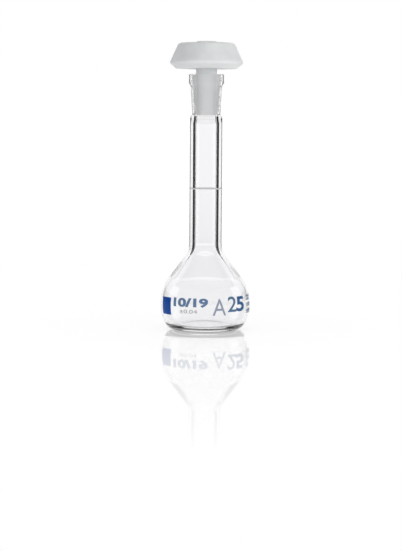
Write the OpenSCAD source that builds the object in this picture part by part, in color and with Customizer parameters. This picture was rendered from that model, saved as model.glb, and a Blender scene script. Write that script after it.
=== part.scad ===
// Volumetric flask, 25 ml, with its plastic stopper.
// One blown glass vessel (pear-shaped body, long neck, conical joint), a ring mark
// round the neck, a fired enamel panel on the belly and a tapered stopper.
// Origin: centre of the base, on the surface the flask stands on. +Z runs up the neck.

/* [Body] */
// Height of the glass rim above the bench
rim_h = 110; // [98:0.5:130]
// Largest outer diameter of the body
body_d = 38.5; // [37:0.5:41.5]
// Thickness of the blown wall at the belly
body_wall = 0.75; // [0.6:0.05:1.4]
// Height at which the widest band of the belly starts
belly_z = 10.8; // [10:0.1:13]
// Height of the straight band where the body is widest
belly_band = 1; // [0.5:0.25:3]
// Radius of the belly's outline above and below the band
belly_r = 17.75; // [16:0.25:18.5]
// Radius of the outline where the belly turns into the base
heel_r = 5; // [3.5:0.25:6]
// Width of the flat ring the flask stands on
foot_w = 1; // [0.5:0.25:2]
// Height the middle of the base is pushed up
punt_h = 1.4; // [0.5:0.1:2]
// Thickness of the glass in the middle of the base
base_wall = 2.2; // [1.9:0.1:3]
// Radius inside, where the wall runs into the floor
floor_r = 3; // [2:0.25:4]
// Thickness of the glass under that inner corner
floor_wall = 1.8; // [1.2:0.05:2]

/* [Shoulder and neck] */
// Slope of the shoulder, measured from the neck's axis
shoulder_angle = 36.5; // [33:0.5:42]
// Radius of the outline where the shoulder meets the neck
shoulder_r = 6; // [3:0.5:9]
// Outer diameter of the neck
neck_d = 14.2; // [13.6:0.1:15.2]
// Thickness of the neck's tube
neck_wall = 2.45; // [2:0.05:2.6]
// How far the bore starts to widen below the outer corner of the shoulder
bore_drop = 0.1; // [0:0.1:1]
// Radius of the bore's outline where it opens into the body
bore_r = 9; // [6:0.5:10]

/* [Joint] */
// Diameter of the ground socket at the rim
socket_d = 10; // [9.6:0.1:10.4]
// Length of the ground socket
socket_len = 18; // [15:0.5:19]
// Length over which the joint's diameter falls by 1
taper = 10; // [10:0.5:14]
// Thickness of the glass round the socket
socket_wall = 2; // [1.7:0.05:2.2]
// Length of the inside flare from the socket into the neck
socket_flare = 3; // [2.5:0.5:7]
// Height of the outer step from the socket to the neck
socket_step = 1.6; // [1.5:0.1:3]
// Outer diameter of the thickened rim
rim_d = 15.3; // [15:0.1:17]
// Height of the thickened rim
rim_band = 3.7; // [3:0.1:6]
// Height of the slope from the socket up to the thickened rim
rim_slope = 1.5; // [1.2:0.1:3]

/* [Ring mark] */
// Height of the ring mark above the bench
ring_z = 61; // [50:0.1:70]
// Width of the ring mark's line
ring_w = 0.4; // [0.3:0.05:0.8]
// Depth of the groove that holds the ring mark
ring_depth = 0.1; // [0.05:0.05:0.2]

/* [Enamel panel] */
// Height of the middle of the enamel panel above the bench
panel_z = 11.1; // [10:0.1:13]
// Height of the enamel panel
panel_h = 7.4; // [5:0.1:9]
// Width of the enamel panel round the belly
panel_w = 6.8; // [4:0.1:12]
// Direction the middle of the panel faces, from +X towards +Y
panel_turn = 210.5; // [180:0.5:360]
// Thickness of the fired enamel
enamel_t = 0.12; // [0.08:0.02:0.2]

/* [Stopper] */
// Widest diameter of the head
head_d = 31.8; // [28:0.2:36]
// Diameter of the head's underside
head_base_d = 26; // [20:0.2:28]
// Height of the bevel under the head's widest edge
head_bevel_h = 2.4; // [1.5:0.1:4]
// Height of the head
head_h = 11; // [8:0.25:14]
// Slope of the head's side, measured from its axis
head_angle = 24.6; // [15:0.2:32]
// Radius of the head's top edge
head_top_r = 1.8; // [0.8:0.1:2.5]
// Radius of the head's widest edge and of the edge below it
head_edge_r = 1.1; // [0.4:0.1:1.2]
// Radius of the corner between the shank and the head
shank_r = 0.6; // [0.3:0.1:1]
// Diameter of the small disc on top of the head
disc_d = 8.4; // [6:0.2:12]
// Height of the small disc on top of the head
disc_h = 0.7; // [0.3:0.1:1]
// Height of the head's underside above the rim
head_gap = 2.3; // [1:0.1:4]
// Diameter of the shank between the head and the plug
shank_d = 9; // [8:0.1:9.4]
// Depth below the rim at which the plug's taper starts
plug_drop = 1; // [0.5:0.1:2]
// How far the plug's tip stays above the end of the ground socket
plug_short = 1.7; // [0.3:0.1:2]
// Clearance between the plug and the socket, on the radius
plug_gap = 0.05; // [0.03:0.01:0.1]
// Diameter of the moulding core's hole at the plug's tip
core_d = 5.4; // [4:0.1:5.8]
// Narrowing of the core's hole for release, as an angle
core_draft = 0.8; // [0.5:0.1:1.2]
// Depth the core's hole goes into the head
core_in_head = 5; // [2:0.5:7]

/* [Hidden] */

arc_step = 3;          // angle between two points of a curved outline
$fn = 96;

glass_color = [0.86, 0.93, 0.95, 0.45];
mark_color = [0.93, 0.93, 0.90];
enamel_color = [0.10, 0.30, 0.66];
plastic_color = [0.84, 0.86, 0.86];

// ---- outline helpers: a point is [radius, height] ----

// The point at angle a on a circle of radius r round c
function on_circle(c, r, a) = c + r * [cos(a), sin(a)];

// Points of an arc round c from angle a0 to angle a1
function arc(c, r, a0, a1) =
    let (n = max(2, ceil(abs(a1 - a0) / arc_step)))
    [for (i = [0:n]) on_circle(c, r, a0 + (a1 - a0) * i / n)];

// Direction from point a to point b
function direction(a, b) = atan2(b[1] - a[1], b[0] - a[0]);

// Arc of radius r that rounds corner b between points a and c
function round_corner(a, b, c, r) =
    let (to_a = direction(b, a),
         turn = (direction(b, c) - to_a + 540) % 360 - 180,
         side = sign(turn),
         centre = b + r / sin(abs(turn) / 2) * [cos(to_a + turn / 2), sin(to_a + turn / 2)],
         start = to_a - side * 90)
    arc(centre, r, start, start + turn - side * 180);

// The same points in the other order
function reversed(points) = [for (i = [len(points) - 1:-1:0]) points[i]];

// Angle of the point where a line from p touches a circle of radius r round c
function touch_angle(p, c, r) = direction(c, p) - acos(r / norm(p - c));

// ---- body: the outer skin ----

body_rad = body_d / 2;
neck_rad = neck_d / 2;
bore_rad = neck_rad - neck_wall;

belly_low = [body_rad - belly_r, belly_z];
belly_high = belly_low + [0, belly_band];

// The heel's circle rolls inside the belly's circle and touches the bench
heel_x = belly_low[0] + sqrt(pow(belly_r - heel_r, 2) - pow(belly_z - heel_r, 2));
heel = [heel_x, heel_r];
heel_turn = direction(belly_low, heel);

// The pushed-up base is part of a large sphere that touches a circle, round a
// centre at height z above the bench, which stands at radius x
function dome_radius(x, z, r, top) = (x * x + pow(z - top, 2) - r * r) / (2 * (r - z + top));

foot_x = heel_x - foot_w;
punt_ball = dome_radius(foot_x, heel_r, heel_r, punt_h);
punt_centre = [0, punt_h - punt_ball];
punt_edge = direction(punt_centre, [foot_x, heel_r]);

// Shoulder: a cone that touches the belly's upper circle
shoulder_start = on_circle(belly_high, belly_r, shoulder_angle);
corner_z = shoulder_start[1] + (shoulder_start[0] - neck_rad) / tan(shoulder_angle);
shoulder_corner = [neck_rad, corner_z];

// ---- joint at the top of the neck ----

// Inner radius of the ground socket at height z
function socket_rad(z) = socket_d / 2 - (rim_h - z) / (2 * taper);

socket_end = rim_h - socket_len;
step_low = [neck_rad, socket_end - socket_step / 2];
step_high = [socket_rad(socket_end) + socket_wall, socket_end + socket_step / 2];
step_r = 1;
rim_low = [rim_d / 2, rim_h - rim_band];
rim_neck = [socket_rad(rim_low[1] - rim_slope) + socket_wall, rim_low[1] - rim_slope];
rim_neck_r = 1.5;
rim_low_r = 0.4;
rim_top = [rim_d / 2, rim_h];
rim_top_r = 0.6;
lip_bevel = 0.4;

function outer_outline() = concat(
    arc(punt_centre, punt_ball, 90, punt_edge),
    arc([foot_x, heel_r], heel_r, punt_edge - 180, -90),
    arc(heel, heel_r, -90, heel_turn),
    arc(belly_low, belly_r, heel_turn, 0),
    arc(belly_high, belly_r, 0, shoulder_angle),
    round_corner(shoulder_start, shoulder_corner, step_low, shoulder_r),
    round_corner(shoulder_corner, step_low, step_high, step_r),
    round_corner(step_low, step_high, rim_neck, step_r),
    round_corner(step_high, rim_neck, rim_low, rim_neck_r),
    round_corner(rim_neck, rim_low, rim_top, rim_low_r),
    round_corner(rim_low, rim_top, [0, rim_h], rim_top_r));

// ---- body: the inner skin ----

inner_belly_r = belly_r - body_wall;

// The floor's corner rolls inside the inner belly's circle, floor_wall above the bench
corner_h = floor_wall + floor_r;
corner_x = belly_low[0] + sqrt(pow(inner_belly_r - floor_r, 2) - pow(belly_z - corner_h, 2));
floor_corner = [corner_x, corner_h];
floor_turn = direction(belly_low, floor_corner);
floor_top = punt_h + base_wall;
floor_ball = dome_radius(corner_x, corner_h, floor_r, floor_top);
floor_centre = [0, floor_top - floor_ball];
floor_edge = direction(floor_centre, floor_corner);

bore_corner = [bore_rad, corner_z - bore_drop];
inner_shoulder = touch_angle(bore_corner, belly_high, inner_belly_r);
inner_start = on_circle(belly_high, inner_belly_r, inner_shoulder);
flare_low = [bore_rad, socket_end - socket_flare];
flare_high = [socket_rad(socket_end), socket_end];

function inner_outline() = concat(
    arc(floor_centre, floor_ball, 90, floor_edge),
    arc(floor_corner, floor_r, floor_edge - 180, floor_turn),
    arc(belly_low, inner_belly_r, floor_turn, 0),
    arc(belly_high, inner_belly_r, 0, inner_shoulder),
    round_corner(inner_start, bore_corner, flare_low, bore_r),
    [flare_low, flare_high,
     [socket_rad(rim_h - lip_bevel), rim_h - lip_bevel],
     [socket_d / 2 + lip_bevel, rim_h]]);

// ---- stopper ----

head_z = rim_h + head_gap;
head_top = head_z + head_h;
edge_z = head_z + head_bevel_h;
top_rad = head_d / 2 - (head_top - edge_z) * tan(head_angle);
plug_top = rim_h - plug_drop;
plug_tip = socket_end + plug_short;
tip_bevel = 0.4;
core_rad = core_d / 2;
core_top = head_z + core_in_head;

// Radius of the plug at height z
function plug_rad(z) = socket_rad(z) - plug_gap;

function stopper_outline() =
    let (shank_low = [shank_d / 2, plug_top + plug_rad(plug_top) - shank_d / 2],
         shank_high = [shank_d / 2, head_z],
         base = [head_base_d / 2, head_z],
         edge = [head_d / 2, edge_z],
         top = [top_rad, head_top])
    concat(
        [[0, plug_tip],
         [plug_rad(plug_tip) - tip_bevel, plug_tip],
         [plug_rad(plug_tip + tip_bevel), plug_tip + tip_bevel],
         [plug_rad(plug_top), plug_top],
         shank_low],
        round_corner(shank_low, shank_high, base, shank_r),
        round_corner(shank_high, base, edge, head_edge_r),
        round_corner(base, edge, top, head_edge_r),
        round_corner(edge, top, [0, head_top], head_top_r),
        [[disc_d / 2, head_top],
         [disc_d / 2, head_top + disc_h],
         [0, head_top + disc_h]]);

// ---- the pieces ----

// The glass vessel: the wall between its two skins, turned about the neck's axis
module flask() {
    color(glass_color)
    difference() {
        rotate_extrude() polygon(concat(outer_outline(), reversed(inner_outline())));
        ring_band(neck_rad + 1);
    }
}

// A flat ring at the height of the mark, from the groove's floor out to radius r
module ring_band(r) {
    translate([0, 0, ring_z - ring_w / 2])
    rotate_extrude()
    translate([neck_rad - ring_depth, 0]) square([r - neck_rad + ring_depth, ring_w]);
}

// The mark that shows the volume: a fine line that fills its groove
module ring_mark() {
    color(mark_color) ring_band(neck_rad);
}

// The enamel panel: a thin skin over the belly, cut to its height and width
module enamel_panel() {
    skin = 0.01;
    half_turn = panel_w / body_d * 180 / PI;
    color(enamel_color)
    rotate([0, 0, panel_turn - half_turn])
    rotate_extrude(angle = 2 * half_turn)
    intersection() {
        difference() {
            belly_slice(skin + enamel_t);
            belly_slice(skin);
        }
        translate([body_rad / 2, panel_z - panel_h / 2]) square([body_rad, panel_h]);
    }
}

// Half of the belly's outline, grown outwards by t
module belly_slice(t) {
    polygon(concat([[0, heel_r]],
                   arc(belly_low, belly_r + t, heel_turn, 0),
                   arc(belly_high, belly_r + t, 0, shoulder_angle),
                   [[0, shoulder_start[1]]]));
}

// The stopper: head, shank and tapered plug in one moulding, hollow from the tip
module stopper() {
    color(plastic_color)
    difference() {
        rotate_extrude() polygon(stopper_outline());
        translate([0, 0, plug_tip - 1])
            cylinder(h = core_top - plug_tip + 1,
                     r1 = core_rad + tan(core_draft),
                     r2 = core_rad - (core_top - plug_tip) * tan(core_draft));
    }
}

flask();
ring_mark();
enamel_panel();
stopper();
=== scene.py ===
# %% [markdown]
# # A 25 ml volumetric flask with its plastic stopper
#
# The real object is one blown glass vessel, a fine ring fired round its neck, blue enamel
# printed on its belly and a tapered polyethylene stopper. Its measured model is loaded first
# and stays where it is. The cells below make finer surfaces and real finishes round it.
# Blender works in metres, so sizes are written in millimetres and turned by one factor.

# %% Load the measured model
import math

import bmesh
import bpy
import numpy as np
from mathutils import Matrix, Vector


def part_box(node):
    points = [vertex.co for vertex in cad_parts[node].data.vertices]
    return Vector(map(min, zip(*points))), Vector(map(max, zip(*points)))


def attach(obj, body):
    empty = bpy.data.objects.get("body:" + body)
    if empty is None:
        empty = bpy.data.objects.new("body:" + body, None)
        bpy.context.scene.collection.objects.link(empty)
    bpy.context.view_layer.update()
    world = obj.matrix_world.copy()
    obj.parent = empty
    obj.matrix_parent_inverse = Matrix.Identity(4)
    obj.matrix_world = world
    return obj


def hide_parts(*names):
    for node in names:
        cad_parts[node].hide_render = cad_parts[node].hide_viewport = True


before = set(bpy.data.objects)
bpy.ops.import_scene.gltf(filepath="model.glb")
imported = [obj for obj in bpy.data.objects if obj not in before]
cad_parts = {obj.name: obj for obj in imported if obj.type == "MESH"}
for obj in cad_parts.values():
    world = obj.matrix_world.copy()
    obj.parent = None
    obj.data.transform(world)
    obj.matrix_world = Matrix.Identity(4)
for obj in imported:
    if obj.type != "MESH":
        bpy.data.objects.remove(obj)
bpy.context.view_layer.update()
MM = 0.001
flask_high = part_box("flask")[1]
stopper_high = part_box("stopper")[1]
print("rim at", round(flask_high.z / MM, 2), "mm, stopper's top at", round(stopper_high.z / MM, 2), "mm")

# %% [markdown]
# ## Camera
#
# The view is a product view: level with the upper part of the neck, with a long lens so that
# the sides of the body stay nearly parallel. The camera stands on the object's own front axis
# and looks down a few degrees.

# %% Camera
CAMERA_PLACE = (0.0, -0.760, 0.090)
CAMERA_LENS = 114.98     # mm, on a sensor 36 mm long
LOOK_DOWN = 5.02         # degrees below the horizon
LOOK_ASIDE = 0.136       # degrees to the left of the object's axis
LEAN = 0.369             # degrees of roll

camera_data = bpy.data.cameras.new("camera")
camera_data.lens = CAMERA_LENS
camera_data.sensor_width = 36.0
camera_data.clip_start = 0.01
camera = bpy.data.objects.new("camera", camera_data)
camera.location = CAMERA_PLACE
camera.rotation_mode = "XYZ"
bpy.context.scene.collection.objects.link(camera)
bpy.context.scene.camera = camera


def turned(axis, degrees):
    """Rotation by an angle about one axis, as a 4 x 4 matrix."""
    return Matrix.Rotation(math.radians(degrees), 4, axis)


turn = turned("Z", LOOK_ASIDE) @ turned("X", 90 - LOOK_DOWN) @ turned("Z", LEAN)
camera.rotation_euler = turn.to_euler("XYZ")
print("camera", round(math.degrees(camera.rotation_euler.x), 3), "degrees from straight down")

# %% [markdown]
# ## Helpers for materials
#
# Every colour is written as the sRGB hex value that a screen shows. Shaders work in linear
# light, so one function turns hex to linear. One more adds a node with its settings and links.


# %% Colour and node helpers
def linear(hex_colour):
    """sRGB hex to linear RGBA: c / 12.92 below 0.04045, else ((c + 0.055) / 1.055) ** 2.4."""
    c = np.array([int(hex_colour[i:i + 2], 16) for i in (1, 3, 5)]) / 255
    low, high = c / 12.92, ((c + 0.055) / 1.055) ** 2.4
    return (*np.where(c <= 0.04045, low, high), 1.0)


def new_material(name):
    """An empty node material and its output node."""
    material = bpy.data.materials.new(name)
    material.use_nodes = True
    material.node_tree.nodes.clear()
    return material, material.node_tree.nodes.new("ShaderNodeOutputMaterial")


def add(material, kind, settings=None, **inputs):
    """Adds a node. Settings are its own attributes; inputs are values, or sockets to link.

    An input is named as on the node, with _ for a space, or i0, i1 and so on by its place.
    """
    tree = material.node_tree
    node = tree.nodes.new("ShaderNode" + kind)
    for key, value in (settings or {}).items():
        setattr(node, key, value)
    for key, value in inputs.items():
        numbered = key[1:].isdigit()
        socket = node.inputs[int(key[1:]) if numbered else key.replace("_", " ")]
        if isinstance(value, bpy.types.NodeSocket):
            tree.links.new(value, socket)
        else:
            socket.default_value = value
    return node


# %% [markdown]
# ## Outlines
#
# Blown glass has no straight-cut corners: its outline is a chain of arcs that run into each
# other. An outline here is an array of [radius, height] points in millimetres. Arcs are worked
# out from centre, radius and angles, and a corner is rounded by the arc that touches both sides.


# %% Outline helpers
def arc(centre, radius, start, end, step=3.0):
    """centre + radius * (cos t, sin t) for t from start to end, in degrees."""
    count = max(2, math.ceil(abs(end - start) / step))
    t = np.radians(np.linspace(start, end, count + 1))
    return np.asarray(centre) + radius * np.stack([np.cos(t), np.sin(t)], axis=1)


def direction(a, b):
    """Angle of the line from a to b, in degrees."""
    return math.degrees(math.atan2(b[1] - a[1], b[0] - a[0]))


def rounded(a, b, c, radius, step=6.0):
    """The arc that touches lines ba and bc. Its centre is radius / sin(half angle) from b."""
    to_a = direction(b, a)
    bend = (direction(b, c) - to_a + 540) % 360 - 180
    side = math.copysign(1, bend)
    middle = math.radians(to_a + bend / 2)
    reach = radius / math.sin(math.radians(abs(bend) / 2))
    centre = np.asarray(b) + reach * np.array([math.cos(middle), math.sin(middle)])
    start = to_a - side * 90
    return arc(centre, radius, start, start + bend - side * 180, step)


def rounded_chain(points, radii, step=6.0):
    """A polyline whose inner points are rounded, each by its own radius."""
    inner = [rounded(*points[i - 1:i + 2], radii[i - 1], step) for i in range(1, len(points) - 1)]
    return np.concatenate([[points[0]], *inner, [points[-1]]])


# %% [markdown]
# ## Turned surfaces
#
# A surface of revolution has two parameters: the place along the outline and the angle round
# the axis. Both are worked out as whole arrays. A point on the axis is made once, and a fan of
# triangles closes the surface there, so that no pole is left open.


# %% The lathe
def mesh_object(name, points, faces, smooth=True, slots=None):
    """A mesh object at the origin from points in mm. slots holds each face's material index."""
    mesh = bpy.data.meshes.new(name)
    mesh.from_pydata((np.asarray(points) * MM).tolist(), [], faces)
    mesh.polygons.foreach_set("use_smooth", np.full(len(faces), smooth))
    if slots is not None:
        mesh.polygons.foreach_set("material_index", np.asarray(slots, np.int32))
    mesh.update()
    piece = bpy.data.objects.new(name, mesh)
    bpy.context.scene.collection.objects.link(piece)
    return piece


def lathe(name, outline, turns=320, slot_of=None):
    """Outline point (r, z) at angle t becomes (r cos t, r sin t, z).

    The outline starts and ends on the axis and runs so that its left side is the outside.
    slot_of(outline) gives the material index of each stretch between two points.
    """
    keep = np.r_[True, np.linalg.norm(np.diff(outline, axis=0), axis=1) > 1e-4]
    outline = outline[keep]
    ring = outline[1:-1]
    t = np.linspace(0, 2 * math.pi, turns, endpoint=False)
    r, z = ring[:, 0, None], ring[:, 1, None]
    grid = np.stack([r * np.cos(t), r * np.sin(t), z + 0 * t], axis=2).reshape(-1, 3)
    poles = [[0, 0, outline[0, 1]], [0, 0, outline[-1, 1]]]
    rows = len(ring)
    i = np.arange(rows - 1)[:, None] * turns
    j = np.arange(turns)[None, :]
    k = (j + 1) % turns
    quads = np.stack([i + j, i + k, i + turns + k, i + turns + j], axis=2).reshape(-1, 4)
    first, last = rows * turns, rows * turns + 1
    top = (rows - 1) * turns
    fan_a = np.stack([np.full(turns, first), k[0], j[0]], axis=1)
    fan_b = np.stack([np.full(turns, last), top + j[0], top + k[0]], axis=1)
    faces = quads.tolist() + fan_a.tolist() + fan_b.tolist()
    slots = None
    if slot_of is not None:
        of_stretch = slot_of(outline)
        slots = np.r_[np.repeat(of_stretch[1:-1], turns), np.repeat(of_stretch[[0, -1]], turns)]
    piece = mesh_object(name, np.vstack([grid, poles]), faces, slots=slots)
    print(name, len(piece.data.polygons), "faces,", rows, "rings of", turns)
    return piece


# %% [markdown]
# ## The vessel
#
# The body is pear shaped: a small heel, a belly that is a large arc, a straight shoulder that
# touches it, and a neck. The wall is thin at the belly and thick in the neck, so the inner skin
# is not a copy of the outer one. The base is pushed up, and the socket in the top of the neck
# narrows by 1 mm in 10.

# %% Sizes of the vessel, in millimetres
RIM_H = flask_high.z / MM
BODY_R = flask_high.x / MM
BODY_WALL, BASE_WALL = 0.75, 2.2
BELLY_Z, BELLY_BAND, BELLY_R = 10.8, 1.0, 17.75
HEEL_R, FOOT_W, PUNT_H = 5.0, 1.0, 1.4
FLOOR_TURN_R, HEEL_WALL = 3.0, 1.8
SHOULDER_ANGLE, SHOULDER_R, BORE_DROP = 36.5, 6.0, 0.1
NECK_R = 7.1
BORE_R = NECK_R - 2.45
BORE_TURN_R = 9.0
SOCKET_R, SOCKET_LEN, TAPER, SOCKET_WALL = 5.0, 18.0, 10.0, 2.0
SOCKET_FLARE, SOCKET_STEP, STEP_R = 3.0, 1.6, 1.0
RIM_R, RIM_BAND, RIM_SLOPE = 7.65, 3.7, 1.5
RIM_NECK_R, RIM_LOW_R, RIM_TOP_R = 1.5, 0.4, 0.6
LIP_BEVEL, SOFT_EDGE = 0.4, 0.12
FLARE_R, SOCKET_END_R = 4.0, 1.0
MARK_DEPTH = 0.1
mark_low, mark_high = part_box("ring_mark")
MARK_Z = (mark_low.z / MM, mark_high.z / MM)
MARK_FLOOR = NECK_R - MARK_DEPTH
SOCKET_END = RIM_H - SOCKET_LEN

# %% The outer skin
belly_low = np.array([BODY_R - BELLY_R, BELLY_Z])
belly_high = belly_low + [0, BELLY_BAND]
heel_out = math.sqrt((BELLY_R - HEEL_R) ** 2 - (BELLY_Z - HEEL_R) ** 2)
heel = np.array([belly_low[0] + heel_out, HEEL_R])
heel_turn = direction(belly_low, heel)


def dome(x, z, r, top):
    """Radius of a sphere on the axis, highest at top, that touches a circle r round (x, z)."""
    return (x * x + (z - top) ** 2 - r * r) / (2 * (r - z + top))


def socket_radius(z):
    """Inner radius of the ground socket at height z."""
    return SOCKET_R - (RIM_H - z) / (2 * TAPER)


foot = np.array([heel[0] - FOOT_W, HEEL_R])
punt_ball = dome(foot[0], HEEL_R, HEEL_R, PUNT_H)
punt_centre = (0, PUNT_H - punt_ball)
punt_edge = direction(punt_centre, foot)
shoulder_start = arc(belly_high, BELLY_R, 0, SHOULDER_ANGLE)[-1]
slope = math.tan(math.radians(SHOULDER_ANGLE))
corner_z = shoulder_start[1] + (shoulder_start[0] - NECK_R) / slope
shoulder_corner = (NECK_R, corner_z)
step_low = (NECK_R, SOCKET_END - SOCKET_STEP / 2)
step_high = (socket_radius(SOCKET_END) + SOCKET_WALL, SOCKET_END + SOCKET_STEP / 2)
rim_low_z = RIM_H - RIM_BAND
rim_neck = (socket_radius(rim_low_z - RIM_SLOPE) + SOCKET_WALL, rim_low_z - RIM_SLOPE)


def groove(low, high, floor, wall, edge=0.02):
    """The four corners of the ring's groove, each held by a second point close beside it."""
    return np.array([[wall, low - edge], [wall, low], [floor, low], [floor, low + edge],
                     [floor, high - edge], [floor, high], [wall, high], [wall, high + edge]])


outer_skin = np.concatenate([
    arc(punt_centre, punt_ball, 90, punt_edge, 0.5),
    arc(foot, HEEL_R, punt_edge - 180, -90),
    arc(heel, HEEL_R, -90, heel_turn),
    arc(belly_low, BELLY_R, heel_turn, 0),
    arc(belly_high, BELLY_R, 0, SHOULDER_ANGLE),
    rounded(shoulder_start, shoulder_corner, step_low, SHOULDER_R, 3.0),
    groove(*MARK_Z, MARK_FLOOR, NECK_R),
    rounded(shoulder_corner, step_low, step_high, STEP_R),
    rounded(step_low, step_high, rim_neck, STEP_R),
    rounded(step_high, rim_neck, (RIM_R, rim_low_z), RIM_NECK_R),
    rounded(rim_neck, (RIM_R, rim_low_z), (RIM_R, RIM_H), RIM_LOW_R),
    rounded((RIM_R, rim_low_z), (RIM_R, RIM_H), (0, RIM_H), RIM_TOP_R)])

# %% The inner skin
inner_belly_r = BELLY_R - BODY_WALL
corner_h = HEEL_WALL + FLOOR_TURN_R
corner_out = math.sqrt((inner_belly_r - FLOOR_TURN_R) ** 2 - (BELLY_Z - corner_h) ** 2)
floor_corner = np.array([belly_low[0] + corner_out, corner_h])
floor_turn = direction(belly_low, floor_corner)
floor_top = PUNT_H + BASE_WALL
floor_ball = dome(*floor_corner, FLOOR_TURN_R, floor_top)
floor_centre = (0, floor_top - floor_ball)
floor_edge = direction(floor_centre, floor_corner)
bore_corner = np.array([BORE_R, corner_z - BORE_DROP])
to_corner = np.linalg.norm(bore_corner - belly_high)
touch = math.degrees(math.acos(inner_belly_r / to_corner))
inner_shoulder = direction(belly_high, bore_corner) - touch
inner_start = arc(belly_high, inner_belly_r, 0, inner_shoulder)[-1]
flare_low = (BORE_R, SOCKET_END - SOCKET_FLARE)
flare_high = (socket_radius(SOCKET_END), SOCKET_END)
lip_low = (socket_radius(RIM_H - LIP_BEVEL), RIM_H - LIP_BEVEL)
lip_high = (SOCKET_R + LIP_BEVEL, RIM_H)

inner_skin = np.concatenate([
    arc(floor_centre, floor_ball, 90, floor_edge, 0.5),
    arc(floor_corner, FLOOR_TURN_R, floor_edge - 180, floor_turn),
    arc(belly_low, inner_belly_r, floor_turn, 0),
    arc(belly_high, inner_belly_r, 0, inner_shoulder),
    rounded(inner_start, bore_corner, flare_low, BORE_TURN_R, 2.0),
    rounded(bore_corner, flare_low, flare_high, FLARE_R, 1.0),
    rounded(flare_low, flare_high, lip_low, SOCKET_END_R, 2.0),
    rounded(flare_high, lip_low, lip_high, SOFT_EDGE, 12.0),
    rounded(lip_low, lip_high, (RIM_R, RIM_H), SOFT_EDGE, 12.0)])

# %% The glass, as one closed surface
GROUND = 1               # index of the ground glass among the vessel's materials
GROUND_SKIN, GROUND_END = 0.02, 0.05   # mm by which a ground stretch may miss the socket's cone


def glass_slot(outline):
    """Stretches of the inner skin inside the socket are ground; everything else is polished."""
    middle = (outline[1:] + outline[:-1]) / 2
    inside = middle[:, 0] < socket_radius(middle[:, 1]) + GROUND_SKIN
    return np.where(inside & (middle[:, 1] > SOCKET_END - GROUND_END), GROUND, 0)


vessel = lathe("glass_vessel", np.concatenate([outer_skin, inner_skin[::-1]]), slot_of=glass_slot)

# %% [markdown]
# ## The stopper
#
# The stopper is one injection moulding in natural polyethylene. Its plug has the taper of the
# socket and hangs clear of it by a hair. A core pin leaves a hole in the plug, and the small
# disc on top is where the plastic came in.

# %% Sizes of the stopper, in millimetres
HEAD_TOP_R, HEAD_EDGE_R, SHANK_EDGE_R, DISC_EDGE_R = 1.8, 1.1, 0.6, 0.15
CORE_END_R, CORE_MOUTH_R, TIP_R, PLUG_TOP_R, SHANK_LOW_R = 0.8, 0.3, 0.35, 0.3, 0.2
HEAD_R, HEAD_BASE_R, HEAD_BEVEL_H, HEAD_H, HEAD_ANGLE = 15.9, 13.0, 2.4, 11.0, 24.6
DISC_R, DISC_H, SHANK_R = 4.2, 0.7, 4.5
PLUG_DROP, PLUG_SHORT, PLUG_GAP = 1.0, 1.7, 0.05
CORE_R, CORE_DRAFT, CORE_IN_HEAD = 2.7, 0.8, 5.0
HEAD_GAP = 2.3
head_z = RIM_H + HEAD_GAP
head_top = head_z + HEAD_H
plug_tip = SOCKET_END + PLUG_SHORT
plug_top = RIM_H - PLUG_DROP


# %% The stopper's outline and surface
def plug_radius(z):
    """Radius of the plug at height z: the socket's, less the gap."""
    return socket_radius(z) - PLUG_GAP


top_r = HEAD_R - (HEAD_H - HEAD_BEVEL_H) * math.tan(math.radians(HEAD_ANGLE))
draft = math.tan(math.radians(CORE_DRAFT))
core_top = head_z + CORE_IN_HEAD
core_end = CORE_R - (core_top - plug_tip) * draft
stopper_outline = rounded_chain(
    [(0, core_top), (core_end, core_top), (CORE_R, plug_tip),
     (plug_radius(plug_tip), plug_tip), (plug_radius(plug_top), plug_top),
     (SHANK_R, plug_top + plug_radius(plug_top) - SHANK_R), (SHANK_R, head_z),
     (HEAD_BASE_R, head_z), (HEAD_R, head_z + HEAD_BEVEL_H), (top_r, head_top),
     (DISC_R, head_top), (DISC_R, head_top + DISC_H), (0, head_top + DISC_H)],
    [CORE_END_R, CORE_MOUTH_R, TIP_R, PLUG_TOP_R, SHANK_LOW_R, SHANK_EDGE_R,
     HEAD_EDGE_R, HEAD_EDGE_R, HEAD_TOP_R, DISC_EDGE_R, DISC_EDGE_R])
stopper = lathe("moulded_stopper", stopper_outline)

# %% [markdown]
# ## Enamel figures on the belly
#
# The volume and the class are screen-printed in blue enamel and fired into the glass. Each
# word is made flat as text, turned to a mesh, cut into narrow strips so that it can bend, and
# laid on the belly: across becomes an angle round the axis, and up becomes height.


# %% The belly's skin as a function
def on_belly(turn_deg, height, lift):
    """The belly's skin: a circle of radius BELLY_R + lift in outline, turned about the axis."""
    base = np.where(height > belly_high[1], belly_high[1], np.minimum(height, belly_low[1]))
    rise = np.clip((height - base) / BELLY_R, -1, 1)
    radius = belly_low[0] + (BELLY_R + lift) * np.sqrt(1 - rise ** 2)
    z = base + (BELLY_R + lift) * rise
    t = np.radians(turn_deg - 90)
    return np.stack([radius * np.cos(t), radius * np.sin(t), z], axis=-1)


INK_LIFT, INK_THICK = 0.012, 0.06        # mm above the glass, and the film's thickness
STRIP = 0.4                              # mm, width of the strips that let a figure bend
TEXT_SIZE, CAPITAL = 10.0, 0.7           # size of the flat text, and a capital's share of it


def flat_text(text, height, weight):
    """A text as a flat mesh, figures of the given height in mm, fattened by weight in mm."""
    curve = bpy.data.curves.new("figures", "FONT")
    curve.body = text
    curve.resolution_u = 8
    curve.size = TEXT_SIZE
    curve.offset = weight * TEXT_SIZE * CAPITAL / height
    holder = bpy.data.objects.new("figures", curve)
    bpy.context.scene.collection.objects.link(holder)
    bpy.context.view_layer.update()
    ready = holder.evaluated_get(bpy.context.evaluated_depsgraph_get())
    mesh = bpy.data.meshes.new_from_object(ready)
    bpy.data.objects.remove(holder)
    return mesh


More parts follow.
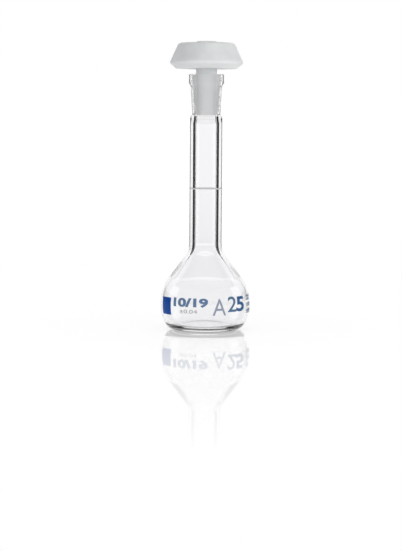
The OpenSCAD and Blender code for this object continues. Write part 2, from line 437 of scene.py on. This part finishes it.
def printed(name, text, left, right, low, high, weight=0.0):
    """Figures that fill the belly from angle left to right and from height low to high."""
    mesh = flat_text(text, high - low, weight)
    shape = bmesh.new()
    shape.from_mesh(mesh)
    bmesh.ops.remove_doubles(shape, verts=shape.verts, dist=1e-5)
    co = np.array([v.co for v in shape.verts])
    low_xy, high_xy = co.min(axis=0), co.max(axis=0)
    width_mm = math.radians(right - left) * BODY_R
    scale = np.array([width_mm, high - low]) / (high_xy - low_xy)[:2]
    for axis, step in ((0, STRIP / scale[0]), (1, STRIP / scale[1])):
        normal = [0.0, 0.0, 0.0]
        normal[axis] = 1.0
        for place in np.arange(low_xy[axis] + step, high_xy[axis], step):
            spot = [0.0, 0.0, 0.0]
            spot[axis] = place
            bmesh.ops.bisect_plane(shape, geom=shape.verts[:] + shape.edges[:] + shape.faces[:],
                                   plane_co=spot, plane_no=normal)
    shape.to_mesh(mesh)
    shape.free()
    count = len(mesh.vertices)
    flat = np.zeros(count * 3)
    mesh.vertices.foreach_get("co", flat)
    flat = flat.reshape(-1, 3)
    share = (flat[:, :2] - low_xy[:2]) / (high_xy - low_xy)[:2]
    place = on_belly(left + (right - left) * share[:, 0], low + (high - low) * share[:, 1], INK_LIFT)
    mesh.vertices.foreach_set("co", (place * MM).ravel())
    mesh.update()
    piece = bpy.data.objects.new(name, mesh)
    bpy.context.scene.collection.objects.link(piece)
    thick = piece.modifiers.new("film", "SOLIDIFY")
    thick.thickness = INK_THICK * MM
    thick.offset = 1.0
    thick.use_even_offset = False
    print(name, count, "points over", round(width_mm, 1), "mm")
    return piece


figures = [
    printed("enamel_joint_size", "10/19", -44, 4, 11.2, 15.1, weight=0.26),
    printed("enamel_tolerance", "±0.04", -34, -10, 8.6, 10.2),
    printed("enamel_class", "A", 9.8, 27.8, 7.8, 14.8),
    printed("enamel_volume_tens", "2", 30.3, 43.8, 9.1, 15.7, weight=0.1),
    printed("enamel_volume_units", "5", 43.9, 59.5, 9.1, 15.5, weight=0.25),
    printed("enamel_temperature", "20°", 67, 84, 13.4, 15.8),
    printed("enamel_joint_small", "10/19", 67, 86, 10.6, 12.4),
    printed("enamel_tolerance_small", "±0.04", 67, 86, 7.8, 9.8),
]

# %% [markdown]
# ## Glass
#
# Borosilicate 3.3 glass, blown and fire-polished: clear, smooth as a liquid, with an index of
# 1.47. The socket is ground with fine grit, about 0.05 mm, which scatters light so that it
# looks frosted. Its grain is drawn at 0.15 mm, because a finer one wouldn't show. The frost's
# grey is painted by slant: painted shade in a band just off square, painted light, white, at a
# slant. Lamps shine through both glasses, by a transparent shader for shadow rays alone.


# %% Glass materials
GLASS_IOR = 1.473
SHADOW_CLEAR, SHADOW_GROUND = "#ececec", "#909090"
SLANT_START, SLANT_END, GLEAM_BAND, GLEAM = 0.34, 0.62, 0.1, 0.12
# Painted shade and light in the frost: its grey by facing, darkest at 0.17, white from 0.40.
HAZE_PAINTED_SHADE_AND_LIGHT = ((0.0, "#f2f2f2"), (0.17, "#dedede"), (0.40, "#ffffff"))


def glass_material(name, colour, roughness, bump=0.0, grain=0.0, frost=0.0):
    """Clear glass, or ground glass where a bump of that grain in mm is given.

    Ground glass turns clear where it is met at a slant. Facing runs from 0, met squarely, to 1.
    Its haze fades over SLANT_START to SLANT_END, and its roughness falls to GLEAM. The haze's grey
    is painted by slant: painted shade near a facing of 0.17, painted light, white, from 0.4.
    """
    material, output = new_material(name)
    shader = add(material, "BsdfPrincipled", Base_Color=linear(colour), Roughness=roughness,
                 IOR=GLASS_IOR, Transmission_Weight=1.0)
    if bump:
        place = add(material, "TexCoord")
        noise = add(material, "TexNoise", Vector=place.outputs["Object"],
                    Scale=1 / (grain * MM), Detail=2.0)
        rough = add(material, "Bump", Height=noise.outputs["Fac"], Strength=bump, Distance=0.02 * MM)
        material.node_tree.links.new(rough.outputs["Normal"], shader.inputs["Normal"])
    shadow = SHADOW_GROUND if frost else SHADOW_CLEAR
    clear = add(material, "BsdfTransparent", Color=linear(shadow))
    path = add(material, "LightPath")
    body = shader.outputs[0]
    if frost:
        slant = add(material, "LayerWeight", Blend=0.5)
        gleam = add(material, "MapRange", Value=slant.outputs["Facing"],
                    From_Min=SLANT_START - GLEAM_BAND, From_Max=SLANT_START + GLEAM_BAND,
                    To_Min=roughness, To_Max=GLEAM)
        material.node_tree.links.new(gleam.outputs["Result"], shader.inputs["Roughness"])
        share = add(material, "MapRange", Value=slant.outputs["Facing"],
                    From_Min=SLANT_START, From_Max=SLANT_END, To_Min=frost, To_Max=0.0)
        # Painted shade and light: the haze's grey follows the slant, not the lamps.
        tone = add(material, "ValToRGB", Fac=slant.outputs["Facing"])
        tone.color_ramp.elements.new(0.5)
        for stop, (place, grey) in zip(tone.color_ramp.elements, HAZE_PAINTED_SHADE_AND_LIGHT):
            stop.position, stop.color = place, linear(grey)
        through = add(material, "BsdfTranslucent", Color=tone.outputs["Color"])
        back = add(material, "BsdfDiffuse", Color=tone.outputs["Color"])
        haze = add(material, "MixShader", i0=0.5, i1=through.outputs[0], i2=back.outputs[0])
        ground = add(material, "MixShader", i0=share.outputs["Result"], i1=body, i2=haze.outputs[0])
        body = ground.outputs[0]
    both = add(material, "MixShader", i0=path.outputs["Is Shadow Ray"], i1=body, i2=clear.outputs[0])
    material.node_tree.links.new(both.outputs[0], output.inputs["Surface"])
    return material


polished_glass = glass_material("borosilicate_glass_fire_polished", "#fefeff", 0.0)
ground_glass = glass_material("borosilicate_glass_ground", "#ffffff", 0.6,
                              bump=0.3, grain=0.15, frost=0.75)
vessel.data.materials.append(polished_glass)
vessel.data.materials.append(ground_glass)

# %% [markdown]
# ## Polyethylene
#
# Natural high-density polyethylene, injection moulded: milky, because light enters and
# scatters a millimetre or two inside, with the satin skin of a fine-blasted mould.

# %% Polyethylene
PLASTIC_IOR, PLASTIC_ROUGHNESS = 1.53, 0.42
SKIN_GRAIN, MILK_SIZE, SCATTER = 0.4, 6.0, 1.5    # mm
SKIN_BUMP, SKIN_RELIEF = 0.15, 0.05               # strength, and height in mm

plastic, plastic_out = new_material("polyethylene_moulded_natural")
plastic_place = add(plastic, "TexCoord")
skin = add(plastic, "TexNoise", Vector=plastic_place.outputs["Object"],
           Scale=1 / (SKIN_GRAIN * MM), Detail=3.0)
skin_bump = add(plastic, "Bump", Height=skin.outputs["Fac"],
                Strength=SKIN_BUMP, Distance=SKIN_RELIEF * MM)
milk = add(plastic, "TexNoise", Vector=plastic_place.outputs["Object"],
           Scale=1 / (MILK_SIZE * MM), Detail=2.0)
tone = add(plastic, "ValToRGB", Fac=milk.outputs["Fac"])
tone.color_ramp.elements[0].position, tone.color_ramp.elements[1].position = 0.35, 0.65
tone.color_ramp.elements[0].color = linear("#e4e6e7")
tone.color_ramp.elements[1].color = linear("#eaeced")
moulded = add(plastic, "BsdfPrincipled", Base_Color=tone.outputs["Color"],
              Roughness=PLASTIC_ROUGHNESS, IOR=PLASTIC_IOR, Subsurface_Weight=1.0,
              Subsurface_Radius=(1.0, 1.0, 0.95), Subsurface_Scale=SCATTER * MM,
              Normal=skin_bump.outputs["Normal"])
plastic.node_tree.links.new(moulded.outputs[0], plastic_out.inputs["Surface"])
stopper.data.materials.append(plastic)


# %% [markdown]
# ## Enamel
#
# Vitreous enamel: a ground glass full of pigment, screen-printed and fired at about 550 degrees.
# It sinks into the glass a little and comes out glossy, with a faintly uneven film.


# %% Enamel materials
ENAMEL_IOR, FILM_SIZE = 1.5, 1.2   # FILM_SIZE in mm


def enamel_material(name, thin, full, roughness=0.35, gloss=0.5):
    """Fired enamel whose tone wanders between two colours over about a millimetre."""
    material, output = new_material(name)
    place = add(material, "TexCoord")
    film = add(material, "TexNoise", Vector=place.outputs["Object"],
               Scale=1 / (FILM_SIZE * MM), Detail=3.0)
    tone = add(material, "ValToRGB", Fac=film.outputs["Fac"])
    tone.color_ramp.elements[0].position, tone.color_ramp.elements[1].position = 0.35, 0.65
    tone.color_ramp.elements[0].color = linear(thin)
    tone.color_ramp.elements[1].color = linear(full)
    shader = add(material, "BsdfPrincipled", Base_Color=tone.outputs["Color"], Roughness=roughness,
                 IOR=ENAMEL_IOR, Specular_IOR_Level=gloss)
    material.node_tree.links.new(shader.outputs[0], output.inputs["Surface"])
    return material


blue_enamel = enamel_material("vitreous_enamel_blue", "#0d54b2", "#0a4aa2", gloss=0.1)
steel_enamel = enamel_material("vitreous_enamel_steel_blue", "#6f8bb1", "#6783a9", gloss=0.1)
slate_enamel = enamel_material("vitreous_enamel_slate_blue", "#5f7f9f", "#577797", gloss=0.1)
deep_enamel = enamel_material("vitreous_enamel_deep_blue", "#40689a", "#345c8c", gloss=0.1)
pale_enamel = enamel_material("vitreous_enamel_pale_violet", "#9fa7ba", "#979fb2", gloss=0.1)
faint_enamel = enamel_material("vitreous_enamel_thin_grey", "#b2b5b8", "#a8abae", gloss=0.1)
white_enamel = enamel_material("vitreous_enamel_ring", "#f2f2f0", "#ececea")


def dress(piece, material):
    """Gives every slot of a piece one material."""
    piece.data.materials.clear()
    piece.data.materials.append(material)


dress(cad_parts["ring_mark"], white_enamel)
dress(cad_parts["enamel_panel"], blue_enamel)
inks = [steel_enamel, faint_enamel, pale_enamel, slate_enamel, deep_enamel, *[slate_enamel] * 3]
for piece, ink in zip(figures, inks, strict=True):
    dress(piece, ink)

# %% [markdown]
# ## Pieces and bodies
#
# The finer vessel stands for the measured one, and the finer stopper for the measured stopper.
# The figures are fired into the glass, so they ride with it.

# %% Riding and replacing
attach(vessel, "flask")
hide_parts("flask")
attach(stopper, "stopper")
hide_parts("stopper")
for piece in figures:
    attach(piece, "flask")

# %% [markdown]
# ## Bright-field light
#
# Clear glass is drawn by what it bends into view. Photographers stand it before a white field
# and hang black flags beside it: the flags are out of the picture, but the curved walls bend
# them in as fine black lines. The flags here hang from the camera, so that they keep beside
# the object from every side. Each sheet is met only by the kinds of light it is meant for:
# light that came through a wall, light that a surface reflects, or matt light.

# %% World
world = bpy.data.worlds.new("studio")
bpy.context.scene.world = world
world.use_nodes = True
world.node_tree.nodes.clear()
world_path = add(world, "LightPath")
AMBIENT_SIDE, AMBIENT_TOP = 0.92, 0.45   # matt light from the side, and from straight above
# The white field that glass and gloss see: (sine of the height angle, brightness) from low to high
FIELD = ((-0.078, 0.925), (-0.066, 1.02), (0.0, 1.11), (0.02, 0.97))
NONE_YET = 0.5                           # a depth below this means no bounce of that kind


def at_least_one(material, *sockets):
    """1 if any of these Light Path outputs is 1."""
    total = sockets[0]
    for socket in sockets[1:]:
        total = add(material, "Math", {"operation": "MAXIMUM"}, i0=total, i1=socket).outputs[0]
    return total


def seen(material, path):
    """1 for camera, glossy and transmission rays that have met no matt surface on their way."""
    names = ("Is Camera Ray", "Is Glossy Ray", "Is Transmission Ray")
    direct = at_least_one(material, *(path.outputs[name] for name in names))
    first = add(material, "Math", {"operation": "LESS_THAN"},
                i0=path.outputs["Diffuse Depth"], i1=NONE_YET)
    both = add(material, "Math", {"operation": "MULTIPLY"}, i0=direct, i1=first.outputs[0])
    return both.outputs[0]


sky = add(world, "TexCoord")
height = add(world, "SeparateXYZ", i0=sky.outputs["Generated"])
behind = None
for (low, dim), (high, bright) in zip(FIELD, FIELD[1:]):
    start = dim if behind is None else 0.0
    step = add(world, "MapRange", Value=height.outputs["Z"], From_Min=low, From_Max=high,
               To_Min=start, To_Max=start + bright - dim)
    if behind is not None:
        step = add(world, "Math", {"operation": "ADD"}, i0=behind, i1=step.outputs[0])
    behind = step.outputs[0]
plain = add(world, "Math", {"operation": "MAXIMUM"}, i0=behind, i1=world_path.outputs["Is Camera Ray"])
field = add(world, "Background", Color=(1, 1, 1, 1), Strength=plain.outputs[0])
fade = add(world, "MapRange", Value=height.outputs["Z"], From_Min=0.0, From_Max=1.0,
           To_Min=AMBIENT_SIDE, To_Max=AMBIENT_TOP)
ambient = add(world, "Background", Color=(1, 1, 1, 1), Strength=fade.outputs["Result"])
world_mix = add(world, "MixShader", i0=seen(world, world_path),
                i1=ambient.outputs[0], i2=field.outputs[0])
add(world, "OutputWorld", Surface=world_mix.outputs[0])


# %% Black flags
# Angles are in degrees round the object from straight behind it, lengths in metres. The lines
# in the neck are light bent by 31 to 66 degrees. Reflections are flagged up to 100 degrees, but
# only near the neck's own height: the sloping shoulder reflects what is higher up, and a tall
# sheet there would draw it in heavy lines. Matt light is shaded at full height over both ranges.
RIG_DISTANCE, RIG_RADIUS = 0.765, 2.0
FLAG_START, FLAG_STOP, FLAG_END = 31, 66, 100
TALL, LOW = (-1.6, 1.6), (-0.4, 0.45)
CEILING_H, CEILING_R, CEILING_FRONT = 1.3, 2.2, 1.6


def black_cloth(name, hides_matt):
    """Black cloth that glass and gloss see. Other light passes, as if the cloth weren't there.

    With hides_matt it also stops matt light, unless that light came through glass.
    """
    material, output = new_material(name)
    black = add(material, "BsdfDiffuse", Color=linear("#080808"))
    gone = add(material, "BsdfTransparent")
    path = add(material, "LightPath")
    there = seen(material, path)
    if hides_matt:
        open_air = add(material, "Math", {"operation": "LESS_THAN"},
                       i0=path.outputs["Transmission Depth"], i1=NONE_YET)
        there = at_least_one(material, there, open_air.outputs[0])
    cloth = add(material, "MixShader", i0=there, i1=gone.outputs[0], i2=black.outputs[0])
    material.node_tree.links.new(cloth.outputs[0], output.inputs["Surface"])
    return material


def hang(sheet, cloth, *kinds):
    """Hangs a sheet of cloth from the camera. Only these kinds of rays meet it."""
    sheet.parent = camera
    sheet.visible_camera = sheet.visible_shadow = sheet.visible_volume_scatter = False
    sheet.visible_transmission = "transmission" in kinds
    sheet.visible_glossy = "glossy" in kinds
    sheet.visible_diffuse = "diffuse" in kinds
    sheet.data.materials.append(cloth)


def curved_wall(name, start, end, heights=TALL, steps=24):
    """Part of a cylinder in camera space: angle a is (r sin a, y, -distance - r cos a)."""
    a = np.radians(np.linspace(start, end, steps + 1))[:, None]
    y = np.array(heights)[None, :]
    x, z = RIG_RADIUS * np.sin(a), -RIG_DISTANCE - RIG_RADIUS * np.cos(a)
    points = np.stack([x + 0 * y, y + 0 * a, z + 0 * y], axis=2).reshape(-1, 3)
    i = np.arange(steps)[:, None] * 2
    return mesh_object(name, points / MM, np.concatenate([i, i + 1, i + 3, i + 2], axis=1).tolist())


side_cloth = black_cloth("black_flag_side", True)
front_cloth = black_cloth("black_flag_front", False)
for name, start, end, heights, kinds in (
        ("flag_", FLAG_START, FLAG_STOP, TALL, ("transmission", "diffuse")),
        ("flag_gloss_", FLAG_START, FLAG_END, LOW, ("glossy",)),
        ("flag_near_", FLAG_STOP, FLAG_END, TALL, ("diffuse",))):
    hang(curved_wall(name + "right", start, end, heights), side_cloth, *kinds)
    hang(curved_wall(name + "left", -end, -start, heights), side_cloth, *kinds)
hang(curved_wall("flag_front", FLAG_END, 360 - FLAG_END), front_cloth, "glossy", "transmission")
corners = np.array([[-1, 1], [1, 1], [1, -1], [-1, -1]]) * CEILING_R
across, along = corners[:, 0], corners[:, 1] - RIG_DISTANCE + CEILING_FRONT
ceiling = np.stack([across, np.full(4, CEILING_H), along], axis=1)
hang(mesh_object("flag_ceiling", ceiling / MM, [[0, 1, 2, 3]]), front_cloth, "glossy", "transmission")


# %% Lamps
# A key from the right models the stopper and the enamel, a fill from the front lights the ground
# socket, and a wide light from above brightens the table. Each is linked to its own pieces.
MIDDLE = (0, 0, 0.06)
KEY_PLACE, KEY_SIZE, KEY_W = (1.09, -0.61, 0.25), (0.7, 0.9), 4.6
FILL_PLACE, FILL_SIZE, FILL_W = (0.18, -1.2, 0.2), (0.3, 0.5), 8.5
TOP_STRENGTH, TOP_SPREAD = 1.9, 60       # the spread in degrees


def lamp(name, kind, power):
    """A lamp whose light is felt but which isn't itself seen, not even in glass or gloss."""
    data = bpy.data.lights.new(name, kind)
    data.energy = power
    holder = bpy.data.objects.new(name, data)
    holder.visible_glossy = holder.visible_transmission = holder.visible_camera = False
    bpy.context.scene.collection.objects.link(holder)
    return holder


def softbox(name, place, aim, size, power):
    """A rectangular area lamp at place, turned to face aim."""
    box = lamp(name, "AREA", power)
    box.data.shape = "RECTANGLE"
    box.data.size, box.data.size_y = size
    box.location = place
    box.rotation_euler = (Vector(aim) - Vector(place)).to_track_quat("-Z", "Y").to_euler()
    return box


def lights_only(source, name, pieces):
    """Light linking: this lamp lights these pieces and nothing else."""
    group = bpy.data.collections.new(name)
    for piece in pieces:
        group.objects.link(piece)
    source.light_linking.receiver_collection = group


key = softbox("key_right", KEY_PLACE, MIDDLE, KEY_SIZE, KEY_W)
lights_only(key, "lit_by_key", [stopper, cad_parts["enamel_panel"], *figures])
fill = softbox("fill_front", FILL_PLACE, MIDDLE, FILL_SIZE, FILL_W)
lights_only(fill, "lit_by_fill", [vessel])
top_light = lamp("top_light", "SUN", TOP_STRENGTH)
top_light.data.angle = math.radians(TOP_SPREAD)

# %% [markdown]
# ## Floor
#
# The flask stands on a white glossy table. The white is the floor's own, the lamps add to it
# where nothing stands in their way, and a thin mirror shows the flask upside down.

# %% Floor
FLOOR_R, MIRROR_R = 340.0, 300.0                  # mm
MIRROR_NEAR, MIRROR_ROUGHNESS = 0.5, 0.03
LIT = 0.35                                        # share of the white that the lamps make
OWN, OWN_GLASS, OWN_MATT = 0.95, 0.87, 0.90       # its own white, as each kind of ray meets it
edge = np.radians(np.arange(0, 360, 5))
edge_points = np.stack([FLOOR_R * np.cos(edge), FLOOR_R * np.sin(edge), 0 * edge], axis=1)
floor = mesh_object("floor", edge_points, [list(range(len(edge)))])
lights_only(top_light, "lit_from_top", [floor])
paint, paint_out = new_material("white_acrylic_table")
paint_path = add(paint, "LightPath")
bright = add(paint, "MapRange", Value=paint_path.outputs["Is Camera Ray"],
             To_Min=OWN_GLASS, To_Max=OWN)
own = add(paint, "Emission", Color=(1, 1, 1, 1), Strength=bright.outputs["Result"])
lit = add(paint, "BsdfDiffuse", Color=linear("#ffffff"))
dull = add(paint, "Emission", Color=(1, 1, 1, 1), Strength=OWN_MATT)
white = add(paint, "MixShader", i0=LIT, i1=own.outputs[0], i2=lit.outputs[0])
sight = add(paint, "MixShader", i0=seen(paint, paint_path),
            i1=dull.outputs[0], i2=white.outputs[0])
mirror = add(paint, "BsdfGlossy", Color=(1, 1, 1, 1), Roughness=MIRROR_ROUGHNESS)
spot = add(paint, "TexCoord")
away = add(paint, "VectorMath", {"operation": "LENGTH"}, i0=spot.outputs["Object"])
share = add(paint, "MapRange", Value=away.outputs["Value"],
            From_Min=0.0, From_Max=MIRROR_R * MM, To_Min=MIRROR_NEAR, To_Max=0.0)
gloss = add(paint, "MixShader", i0=share.outputs["Result"],
            i1=sight.outputs[0], i2=mirror.outputs[0])
paint.node_tree.links.new(gloss.outputs[0], paint_out.inputs["Surface"])
floor.data.materials.append(paint)

bpy.context.scene.view_settings.view_transform = "Standard"
